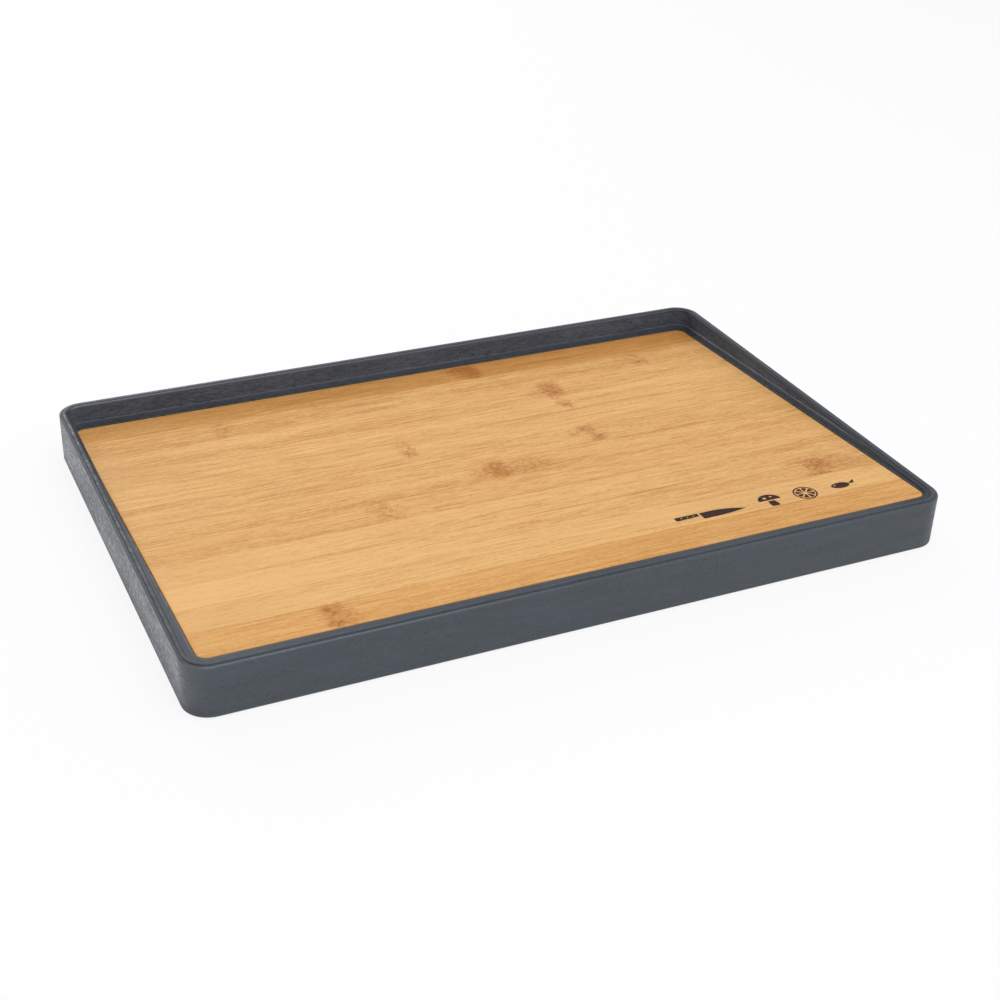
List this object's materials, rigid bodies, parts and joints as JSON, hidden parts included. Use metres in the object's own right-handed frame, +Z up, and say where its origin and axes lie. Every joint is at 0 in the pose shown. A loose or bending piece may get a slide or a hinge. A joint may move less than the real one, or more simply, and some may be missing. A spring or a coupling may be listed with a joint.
{
  "type": "chopping board",
  "caption": "Double-sided chopping board: glued bamboo panel let into the sloping deck of a moulded frame with soft grip rings on both rims.",
  "frame": {"origin": "on the worktop, under the centre of the board", "axes": "+Z up out of the bamboo side, +X along the long side, -Y towards the front edge, where the bamboo meets the rim"},
  "size_m": [0.38, 0.2524, 0.0265],
  "materials": {
    "frame_plastic": "slate grey moulded polypropylene, fine satin spark texture",
    "plate_plastic": "slate grey moulded polypropylene, fine cutting texture",
    "grip_rubber": "slate grey soft rubber, matt",
    "glue": "cured food-safe glue, cream",
    "bamboo": "flat-pressed bamboo strips, sanded and oiled",
    "scorched_marks": "bamboo scorched dark brown in four small marks"
  },
  "bodies": {
    "root": {"frame": "frame_plastic", "underside_plate": "plate_plastic", "upper_grip_ring": "grip_rubber", "lower_grip_ring": "grip_rubber", "glue_sheet": "glue", "bamboo_strip_01": "bamboo", "bamboo_strip_02": "bamboo", "bamboo_strip_03": "bamboo", "bamboo_strip_04": "bamboo", "bamboo_strip_05": "bamboo", "bamboo_strip_06": "bamboo", "bamboo_strip_07": "bamboo", "bamboo_strip_08": "bamboo", "bamboo_strip_09": "bamboo", "bamboo_strip_10": "bamboo", "bamboo_strip_11": "bamboo", "bamboo_strip_12": "bamboo"}
  },
  "joints": []
}
